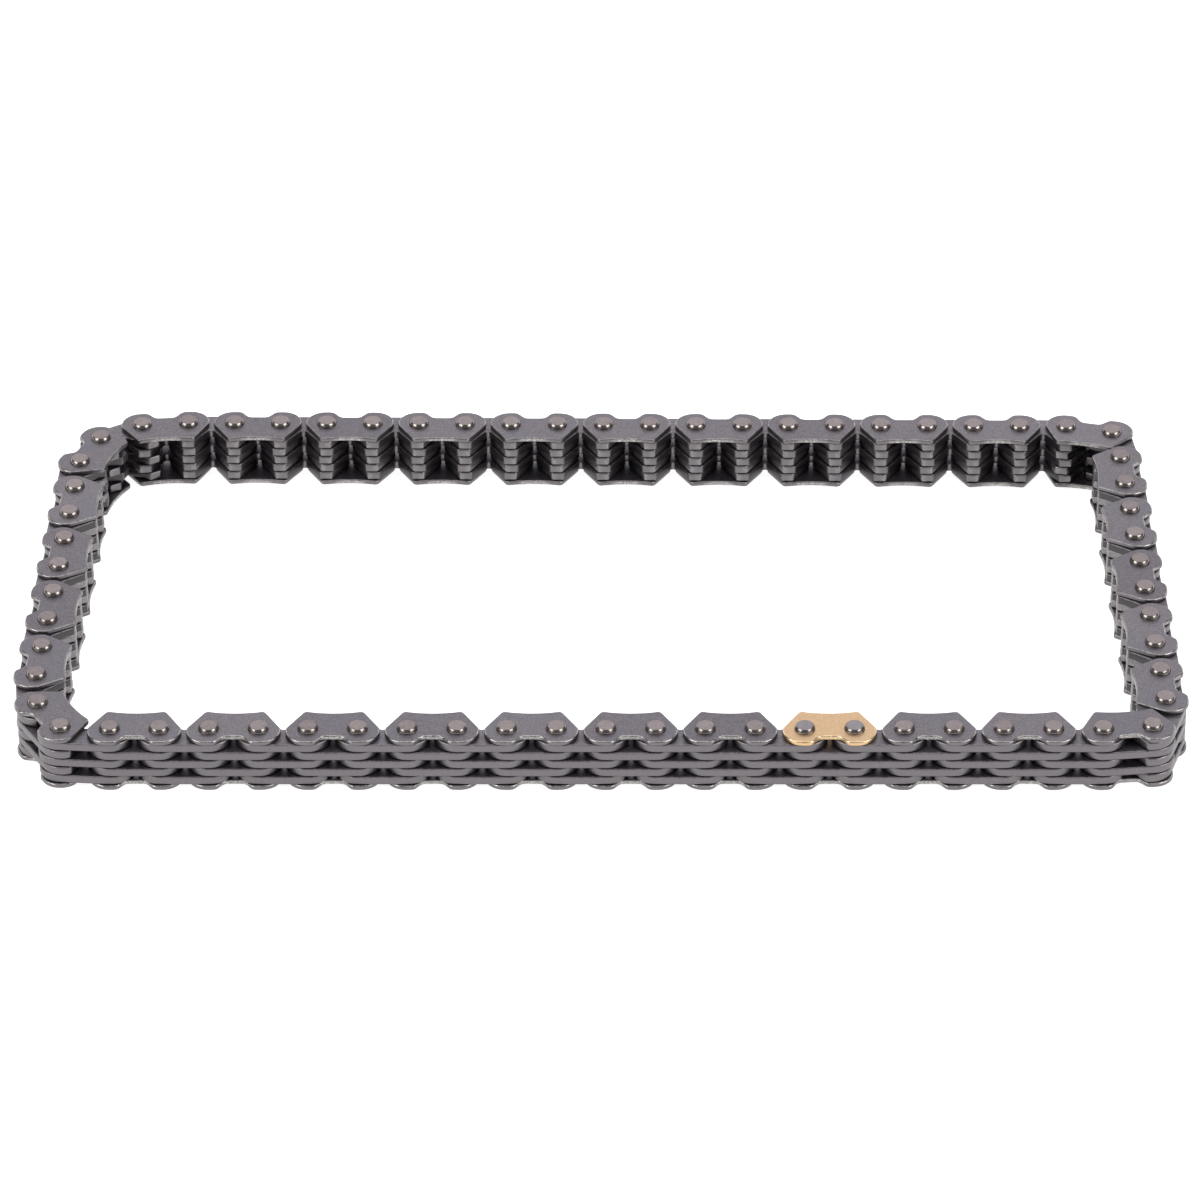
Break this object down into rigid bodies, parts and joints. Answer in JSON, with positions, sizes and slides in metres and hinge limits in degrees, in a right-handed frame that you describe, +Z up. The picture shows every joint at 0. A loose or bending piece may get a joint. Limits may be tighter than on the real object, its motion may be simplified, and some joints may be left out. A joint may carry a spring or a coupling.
{
  "type": "oil pump chain",
  "caption": "Endless silent timing chain with toothed link plates, guide plates and round pins, lying as a rounded rectangular loop with one gold timing link.",
  "frame": {"origin": "on the surface the chain lies on, under the centre of the loop", "axes": "+X along the long rows, to the right in the picture; +Y from the front row to the back row; +Z up along the pins"},
  "size_m": [0.1516, 0.0806, 0.0088],
  "materials": {
    "plate_steel": "tumbled, lightly worn, rounded edges",
    "pin_steel": "ground pin ends with a faint warm tint",
    "timing_gold": "satin gold-coloured plating"
  },
  "bodies": {
    "front_strand": {"timing_mark_guide_plate": "timing_gold", "strand_guide_plates": "plate_steel", "strand_middle_plates": "plate_steel", "strand_inner_plates": "plate_steel", "strand_pins": "pin_steel"},
    "guide_link_00": {"guide_link_00": "plate_steel"},
    "inner_link_01": {"inner_link_01": "plate_steel"},
    "guide_link_02": {"guide_link_02": "plate_steel"},
    "inner_link_03": {"inner_link_03": "plate_steel"},
    "guide_link_04": {"guide_link_04": "plate_steel"},
    "inner_link_05": {"inner_link_05": "plate_steel"},
    "guide_link_06": {"guide_link_06": "plate_steel"},
    "inner_link_07": {"inner_link_07": "plate_steel"},
    "guide_link_08": {"guide_link_08": "plate_steel"},
    "inner_link_09": {"inner_link_09": "plate_steel"},
    "guide_link_10": {"guide_link_10": "plate_steel"},
    "inner_link_11": {"inner_link_11": "plate_steel"},
    "guide_link_12": {"guide_link_12": "plate_steel"},
    "inner_link_13": {"inner_link_13": "plate_steel"},
    "guide_link_14": {"guide_link_14": "plate_steel"},
    "inner_link_15": {"inner_link_15": "plate_steel"},
    "guide_link_16": {"guide_link_16": "plate_steel"},
    "inner_link_17": {"inner_link_17": "plate_steel"},
    "guide_link_18": {"guide_link_18": "plate_steel"},
    "inner_link_19": {"inner_link_19": "plate_steel"},
    "guide_link_20": {"guide_link_20": "plate_steel"},
    "inner_link_21": {"inner_link_21": "plate_steel"},
    "guide_link_22": {"guide_link_22": "plate_steel"},
    "inner_link_23": {"inner_link_23": "plate_steel"},
    "guide_link_24": {"guide_link_24": "plate_steel"},
    "inner_link_25": {"inner_link_25": "plate_steel"},
    "guide_link_26": {"guide_link_26": "plate_steel"},
    "inner_link_27": {"inner_link_27": "plate_steel"},
    "guide_link_28": {"guide_link_28": "plate_steel"},
    "inner_link_29": {"inner_link_29": "plate_steel"},
    "guide_link_30": {"guide_link_30": "plate_steel"},
    "inner_link_31": {"inner_link_31": "plate_steel"},
    "guide_link_32": {"guide_link_32": "plate_steel"},
    "inner_link_33": {"inner_link_33": "plate_steel"},
    "guide_link_34": {"guide_link_34": "plate_steel"},
    "inner_link_35": {"inner_link_35": "plate_steel"},
    "guide_link_36": {"guide_link_36": "plate_steel"},
    "inner_link_37": {"inner_link_37": "plate_steel"},
    "inner_link_49": {"inner_link_49": "plate_steel"},
    "guide_link_50": {"guide_link_50": "plate_steel"},
    "inner_link_51": {"inner_link_51": "plate_steel"},
    "guide_link_52": {"guide_link_52": "plate_steel"},
    "inner_link_53": {"inner_link_53": "plate_steel"},
    "guide_link_54": {"guide_link_54": "plate_steel"},
    "inner_link_55": {"inner_link_55": "plate_steel"},
    "guide_link_56": {"guide_link_56": "plate_steel"},
    "inner_link_57": {"inner_link_57": "plate_steel"},
    "guide_link_58": {"guide_link_58": "plate_steel"},
    "inner_link_59": {"inner_link_59": "plate_steel"},
    "guide_link_60": {"guide_link_60": "plate_steel"},
    "inner_link_61": {"inner_link_61": "plate_steel"},
    "guide_link_62": {"guide_link_62": "plate_steel"},
    "inner_link_63": {"inner_link_63": "plate_steel"},
    "guide_link_64": {"guide_link_64": "plate_steel"},
    "inner_link_65": {"inner_link_65": "plate_steel"}
  },
  "joints": [
    {"name": "pin_38_hinge", "type": "hinge", "parent": "front_strand", "child": "inner_link_37", "pos_m": [0.03263, -0.0368, 0.00438], "axis": [0, 0, 1], "range_deg": [-30, 65]},
    {"name": "pin_37_hinge", "type": "hinge", "parent": "inner_link_37", "child": "guide_link_36", "pos_m": [0.03897, -0.03691, 0.00438], "axis": [0, 0, 1], "range_deg": [-30, 65]},
    {"name": "pin_36_hinge", "type": "hinge", "parent": "guide_link_36", "child": "inner_link_35", "pos_m": [0.04532, -0.03702, 0.00438], "axis": [0, 0, 1], "range_deg": [-30, 65]},
    {"name": "pin_35_hinge", "type": "hinge", "parent": "inner_link_35", "child": "guide_link_34", "pos_m": [0.05167, -0.03712, 0.00438], "axis": [0, 0, 1], "range_deg": [-30, 65]},
    {"name": "pin_34_hinge", "type": "hinge", "parent": "guide_link_34", "child": "inner_link_33", "pos_m": [0.05802, -0.03723, 0.00438], "axis": [0, 0, 1], "range_deg": [-30, 65]},
    {"name": "pin_33_hinge", "type": "hinge", "parent": "inner_link_33", "child": "guide_link_32", "pos_m": [0.06437, -0.03734, 0.00438], "axis": [0, 0, 1], "range_deg": [-36, 59]},
    {"name": "pin_32_hinge", "type": "hinge", "parent": "guide_link_32", "child": "inner_link_31", "pos_m": [0.0707, -0.03679, 0.00438], "axis": [0, 0, 1], "range_deg": [-17, 0]},
    {"name": "pin_31_hinge", "type": "hinge", "parent": "inner_link_31", "child": "guide_link_30", "pos_m": [0.07282, -0.0308, 0.00438], "axis": [0, 0, 1], "range_deg": [-51, 44]},
    {"name": "pin_30_hinge", "type": "hinge", "parent": "guide_link_30", "child": "inner_link_29", "pos_m": [0.07265, -0.02445, 0.00438], "axis": [0, 0, 1], "range_deg": [-30, 65]},
    {"name": "pin_29_hinge", "type": "hinge", "parent": "inner_link_29", "child": "guide_link_28", "pos_m": [0.07248, -0.0181, 0.00438], "axis": [0, 0, 1], "range_deg": [-30, 65]},
    {"name": "pin_28_hinge", "type": "hinge", "parent": "guide_link_28", "child": "inner_link_27", "pos_m": [0.07232, -0.01176, 0.00438], "axis": [0, 0, 1], "range_deg": [-30, 65]},
    {"name": "pin_27_hinge", "type": "hinge", "parent": "inner_link_27", "child": "guide_link_26", "pos_m": [0.07215, -0.00541, 0.00438], "axis": [0, 0, 1], "range_deg": [-30, 65]},
    {"name": "pin_26_hinge", "type": "hinge", "parent": "guide_link_26", "child": "inner_link_25", "pos_m": [0.07198, 0.00094, 0.00438], "axis": [0, 0, 1], "range_deg": [-30, 65]},
    {"name": "pin_25_hinge", "type": "hinge", "parent": "inner_link_25", "child": "guide_link_24", "pos_m": [0.07182, 0.00729, 0.00438], "axis": [0, 0, 1], "range_deg": [-30, 65]},
    {"name": "pin_24_hinge", "type": "hinge", "parent": "guide_link_24", "child": "inner_link_23", "pos_m": [0.07165, 0.01363, 0.00438], "axis": [0, 0, 1], "range_deg": [-30, 65]},
    {"name": "pin_23_hinge", "type": "hinge", "parent": "inner_link_23", "child": "guide_link_22", "pos_m": [0.07149, 0.01998, 0.00438], "axis": [0, 0, 1], "range_deg": [-30, 65]},
    {"name": "pin_22_hinge", "type": "hinge", "parent": "guide_link_22", "child": "inner_link_21", "pos_m": [0.07132, 0.02633, 0.00438], "axis": [0, 0, 1], "range_deg": [-34.5, 60.5]},
    {"name": "pin_21_hinge", "type": "hinge", "parent": "inner_link_21", "child": "guide_link_20", "pos_m": [0.07066, 0.03265, 0.00438], "axis": [0, 0, 1], "range_deg": [-14, 0]},
    {"name": "pin_20_hinge", "type": "hinge", "parent": "guide_link_20", "child": "inner_link_19", "pos_m": [0.06449, 0.03418, 0.00438], "axis": [0, 0, 1], "range_deg": [-42.5, 52.5]},
    {"name": "pin_19_hinge", "type": "hinge", "parent": "inner_link_19", "child": "guide_link_18", "pos_m": [0.05815, 0.03435, 0.00438], "axis": [0, 0, 1], "range_deg": [-30, 65]},
    {"name": "pin_18_hinge", "type": "hinge", "parent": "guide_link_18", "child": "inner_link_17", "pos_m": [0.0518, 0.03451, 0.00438], "axis": [0, 0, 1], "range_deg": [-30, 65]},
    {"name": "pin_17_hinge", "type": "hinge", "parent": "inner_link_17", "child": "guide_link_16", "pos_m": [0.04545, 0.03468, 0.00438], "axis": [0, 0, 1], "range_deg": [-30, 65]},
    {"name": "pin_16_hinge", "type": "hinge", "parent": "guide_link_16", "child": "inner_link_15", "pos_m": [0.0391, 0.03485, 0.00438], "axis": [0, 0, 1], "range_deg": [-30, 65]},
    {"name": "pin_15_hinge", "type": "hinge", "parent": "inner_link_15", "child": "guide_link_14", "pos_m": [0.03276, 0.03501, 0.00438], "axis": [0, 0, 1], "range_deg": [-30, 65]},
    {"name": "pin_14_hinge", "type": "hinge", "parent": "guide_link_14", "child": "inner_link_13", "pos_m": [0.02641, 0.03518, 0.00438], "axis": [0, 0, 1], "range_deg": [-30, 65]},
    {"name": "pin_13_hinge", "type": "hinge", "parent": "inner_link_13", "child": "guide_link_12", "pos_m": [0.02006, 0.03534, 0.00438], "axis": [0, 0, 1], "range_deg": [-30, 65]},
    {"name": "pin_12_hinge", "type": "hinge", "parent": "guide_link_12", "child": "inner_link_11", "pos_m": [0.01371, 0.03551, 0.00438], "axis": [0, 0, 1], "range_deg": [-30, 65]},
    {"name": "pin_11_hinge", "type": "hinge", "parent": "inner_link_11", "child": "guide_link_10", "pos_m": [0.00736, 0.03568, 0.00438], "axis": [0, 0, 1], "range_deg": [-30, 65]},
    {"name": "pin_49_hinge", "type": "hinge", "parent": "front_strand", "child": "inner_link_49", "pos_m": [-0.03721, -0.03562, 0.00438], "axis": [0, 0, -1], "range_deg": [-30, 65]},
    {"name": "pin_50_hinge", "type": "hinge", "parent": "inner_link_49", "child": "guide_link_50", "pos_m": [-0.04356, -0.03551, 0.00438], "axis": [0, 0, -1], "range_deg": [-30, 65]},
    {"name": "pin_51_hinge", "type": "hinge", "parent": "guide_link_50", "child": "inner_link_51", "pos_m": [-0.04991, -0.0354, 0.00438], "axis": [0, 0, -1], "range_deg": [-30, 65]},
    {"name": "pin_52_hinge", "type": "hinge", "parent": "inner_link_51", "child": "guide_link_52", "pos_m": [-0.05626, -0.03529, 0.00438], "axis": [0, 0, -1], "range_deg": [-30, 65]},
    {"name": "pin_53_hinge", "type": "hinge", "parent": "guide_link_52", "child": "inner_link_53", "pos_m": [-0.06261, -0.03518, 0.00438], "axis": [0, 0, -1], "range_deg": [-34, 61]},
    {"name": "pin_54_hinge", "type": "hinge", "parent": "inner_link_53", "child": "guide_link_54", "pos_m": [-0.06894, -0.03463, 0.00438], "axis": [0, 0, -1], "range_deg": [-15, 0]},
    {"name": "pin_55_hinge", "type": "hinge", "parent": "guide_link_54", "child": "inner_link_55", "pos_m": [-0.07221, -0.02919, 0.00438], "axis": [0, 0, -1], "range_deg": [-55.5, 39.5]},
    {"name": "pin_56_hinge", "type": "hinge", "parent": "inner_link_55", "child": "guide_link_56", "pos_m": [-0.07282, -0.02287, 0.00438], "axis": [0, 0, -1], "range_deg": [-38.2, 56.8]},
    {"name": "pin_57_hinge", "type": "hinge", "parent": "guide_link_56", "child": "inner_link_57", "pos_m": [-0.07252, -0.01652, 0.00438], "axis": [0, 0, -1], "range_deg": [-30, 65]},
    {"name": "pin_58_hinge", "type": "hinge", "parent": "inner_link_57", "child": "guide_link_58", "pos_m": [-0.07222, -0.01018, 0.00438], "axis": [0, 0, -1], "range_deg": [-30, 65]},
    {"name": "pin_59_hinge", "type": "hinge", "parent": "guide_link_58", "child": "inner_link_59", "pos_m": [-0.07192, -0.00384, 0.00438], "axis": [0, 0, -1], "range_deg": [-30, 65]},
    {"name": "pin_60_hinge", "type": "hinge", "parent": "inner_link_59", "child": "guide_link_60", "pos_m": [-0.07162, 0.0025, 0.00438], "axis": [0, 0, -1], "range_deg": [-30, 65]},
    {"name": "pin_61_hinge", "type": "hinge", "parent": "guide_link_60", "child": "inner_link_61", "pos_m": [-0.07132, 0.00885, 0.00438], "axis": [0, 0, -1], "range_deg": [-30, 65]},
    {"name": "pin_62_hinge", "type": "hinge", "parent": "inner_link_61", "child": "guide_link_62", "pos_m": [-0.07103, 0.01519, 0.00438], "axis": [0, 0, -1], "range_deg": [-30, 65]},
    {"name": "pin_63_hinge", "type": "hinge", "parent": "guide_link_62", "child": "inner_link_63", "pos_m": [-0.07073, 0.02153, 0.00438], "axis": [0, 0, -1], "range_deg": [-30, 65]},
    {"name": "pin_64_hinge", "type": "hinge", "parent": "inner_link_63", "child": "guide_link_64", "pos_m": [-0.07043, 0.02788, 0.00438], "axis": [0, 0, -1], "range_deg": [-50.3, 44.7]},
    {"name": "pin_65_hinge", "type": "hinge", "parent": "guide_link_64", "child": "inner_link_65", "pos_m": [-0.06795, 0.03372, 0.00438], "axis": [0, 0, -1], "range_deg": [-11, 0]},
    {"name": "pin_00_hinge", "type": "hinge", "parent": "inner_link_65", "child": "guide_link_00", "pos_m": [-0.06245, 0.0369, 0.00438], "axis": [0, 0, -1], "range_deg": [-56, 39]},
    {"name": "pin_01_hinge", "type": "hinge", "parent": "guide_link_00", "child": "inner_link_01", "pos_m": [-0.05611, 0.03734, 0.00438], "axis": [0, 0, -1], "range_deg": [-35.5, 59.5]},
    {"name": "pin_02_hinge", "type": "hinge", "parent": "inner_link_01", "child": "guide_link_02", "pos_m": [-0.04977, 0.03717, 0.00438], "axis": [0, 0, -1], "range_deg": [-30, 65]},
    {"name": "pin_03_hinge", "type": "hinge", "parent": "guide_link_02", "child": "inner_link_03", "pos_m": [-0.04342, 0.03701, 0.00438], "axis": [0, 0, -1], "range_deg": [-30, 65]},
    {"name": "pin_04_hinge", "type": "hinge", "parent": "inner_link_03", "child": "guide_link_04", "pos_m": [-0.03707, 0.03684, 0.00438], "axis": [0, 0, -1], "range_deg": [-30, 65]},
    {"name": "pin_05_hinge", "type": "hinge", "parent": "guide_link_04", "child": "inner_link_05", "pos_m": [-0.03072, 0.03667, 0.00438], "axis": [0, 0, -1], "range_deg": [-30, 65]},
    {"name": "pin_06_hinge", "type": "hinge", "parent": "inner_link_05", "child": "guide_link_06", "pos_m": [-0.02437, 0.03651, 0.00438], "axis": [0, 0, -1], "range_deg": [-30, 65]},
    {"name": "pin_07_hinge", "type": "hinge", "parent": "guide_link_06", "child": "inner_link_07", "pos_m": [-0.01803, 0.03634, 0.00438], "axis": [0, 0, -1], "range_deg": [-30, 65]},
    {"name": "pin_08_hinge", "type": "hinge", "parent": "inner_link_07", "child": "guide_link_08", "pos_m": [-0.01168, 0.03618, 0.00438], "axis": [0, 0, -1], "range_deg": [-30, 65]},
    {"name": "pin_09_hinge", "type": "hinge", "parent": "guide_link_08", "child": "inner_link_09", "pos_m": [-0.00533, 0.03601, 0.00438], "axis": [0, 0, -1], "range_deg": [-30, 65]}
  ],
  "couplings": [
    {"joint": "pin_38_hinge", "follows": "pin_32_hinge", "ratio": -0.17459},
    {"joint": "pin_37_hinge", "follows": "pin_21_hinge", "ratio": -0.082764},
    {"joint": "pin_36_hinge", "follows": "pin_32_hinge", "ratio": -0.173},
    {"joint": "pin_35_hinge", "follows": "pin_21_hinge", "ratio": -0.082834},
    {"joint": "pin_34_hinge", "follows": "pin_32_hinge", "ratio": -0.34318},
    {"joint": "pin_33_hinge", "follows": "pin_21_hinge", "ratio": -0.082797},
    {"joint": "pin_31_hinge", "follows": "pin_21_hinge", "ratio": 0.4808},
    {"joint": "pin_30_hinge", "follows": "pin_32_hinge", "ratio": -0.23272},
    {"joint": "pin_29_hinge", "follows": "pin_21_hinge", "ratio": -0.082691},
    {"joint": "pin_28_hinge", "follows": "pin_32_hinge", "ratio": -0.067545},
    {"joint": "pin_27_hinge", "follows": "pin_21_hinge", "ratio": -0.082677},
    {"joint": "pin_26_hinge", "follows": "pin_32_hinge", "ratio": -0.067454},
    {"joint": "pin_25_hinge", "follows": "pin_21_hinge", "ratio": -0.082758},
    {"joint": "pin_24_hinge", "follows": "pin_32_hinge", "ratio": -0.067443},
    {"joint": "pin_23_hinge", "follows": "pin_21_hinge", "ratio": -0.41233},
    {"joint": "pin_22_hinge", "follows": "pin_32_hinge", "ratio": -0.067591},
    {"joint": "pin_20_hinge", "follows": "pin_32_hinge", "ratio": 0.20087},
    {"joint": "pin_19_hinge", "follows": "pin_21_hinge", "ratio": -0.64828},
    {"joint": "pin_18_hinge", "follows": "pin_32_hinge", "ratio": -0.067646},
    {"joint": "pin_17_hinge", "follows": "pin_21_hinge", "ratio": -0.082857},
    {"joint": "pin_16_hinge", "follows": "pin_32_hinge", "ratio": -0.13046},
    {"joint": "pin_15_hinge", "follows": "pin_21_hinge", "ratio": -0.082786},
    {"joint": "pin_14_hinge", "follows": "pin_32_hinge", "ratio": -0.23627},
    {"joint": "pin_13_hinge", "follows": "pin_21_hinge", "ratio": -0.082784},
    {"joint": "pin_12_hinge", "follows": "pin_32_hinge", "ratio": 0.067656},
    {"joint": "pin_11_hinge", "follows": "pin_21_hinge", "ratio": 0.094913},
    {"joint": "pin_49_hinge", "follows": "pin_65_hinge", "ratio": -0.10408},
    {"joint": "pin_50_hinge", "follows": "pin_54_hinge", "ratio": -0.31937},
    {"joint": "pin_51_hinge", "follows": "pin_65_hinge", "ratio": -0.18441},
    {"joint": "pin_52_hinge", "follows": "pin_54_hinge", "ratio": -0.41332},
    {"joint": "pin_53_hinge", "follows": "pin_65_hinge", "ratio": -0.10407},
    {"joint": "pin_55_hinge", "follows": "pin_65_hinge", "ratio": 0.6746},
    {"joint": "pin_56_hinge", "follows": "pin_54_hinge", "ratio": -0.20408},
    {"joint": "pin_57_hinge", "follows": "pin_65_hinge", "ratio": -0.10401},
    {"joint": "pin_58_hinge", "follows": "pin_54_hinge", "ratio": -0.075836},
    {"joint": "pin_59_hinge", "follows": "pin_65_hinge", "ratio": -0.10398},
    {"joint": "pin_60_hinge", "follows": "pin_54_hinge", "ratio": -0.075781},
    {"joint": "pin_61_hinge", "follows": "pin_65_hinge", "ratio": -0.10405},
    {"joint": "pin_62_hinge", "follows": "pin_54_hinge", "ratio": -0.07579},
    {"joint": "pin_63_hinge", "follows": "pin_65_hinge", "ratio": -0.50067},
    {"joint": "pin_64_hinge", "follows": "pin_54_hinge", "ratio": 0.14187},
    {"joint": "pin_00_hinge", "follows": "pin_54_hinge", "ratio": 0.22125},
    {"joint": "pin_01_hinge", "follows": "pin_65_hinge", "ratio": -0.52317},
    {"joint": "pin_02_hinge", "follows": "pin_54_hinge", "ratio": -0.20967},
    {"joint": "pin_03_hinge", "follows": "pin_65_hinge", "ratio": -0.1041},
    {"joint": "pin_04_hinge", "follows": "pin_54_hinge", "ratio": -0.25155},
    {"joint": "pin_05_hinge", "follows": "pin_65_hinge", "ratio": -0.10404},
    {"joint": "pin_06_hinge", "follows": "pin_54_hinge", "ratio": -0.20229},
    {"joint": "pin_07_hinge", "follows": "pin_65_hinge", "ratio": -0.10404},
    {"joint": "pin_08_hinge", "follows": "pin_54_hinge", "ratio": 0.075852},
    {"joint": "pin_09_hinge", "follows": "pin_65_hinge", "ratio": 0.11632}
  ]
}
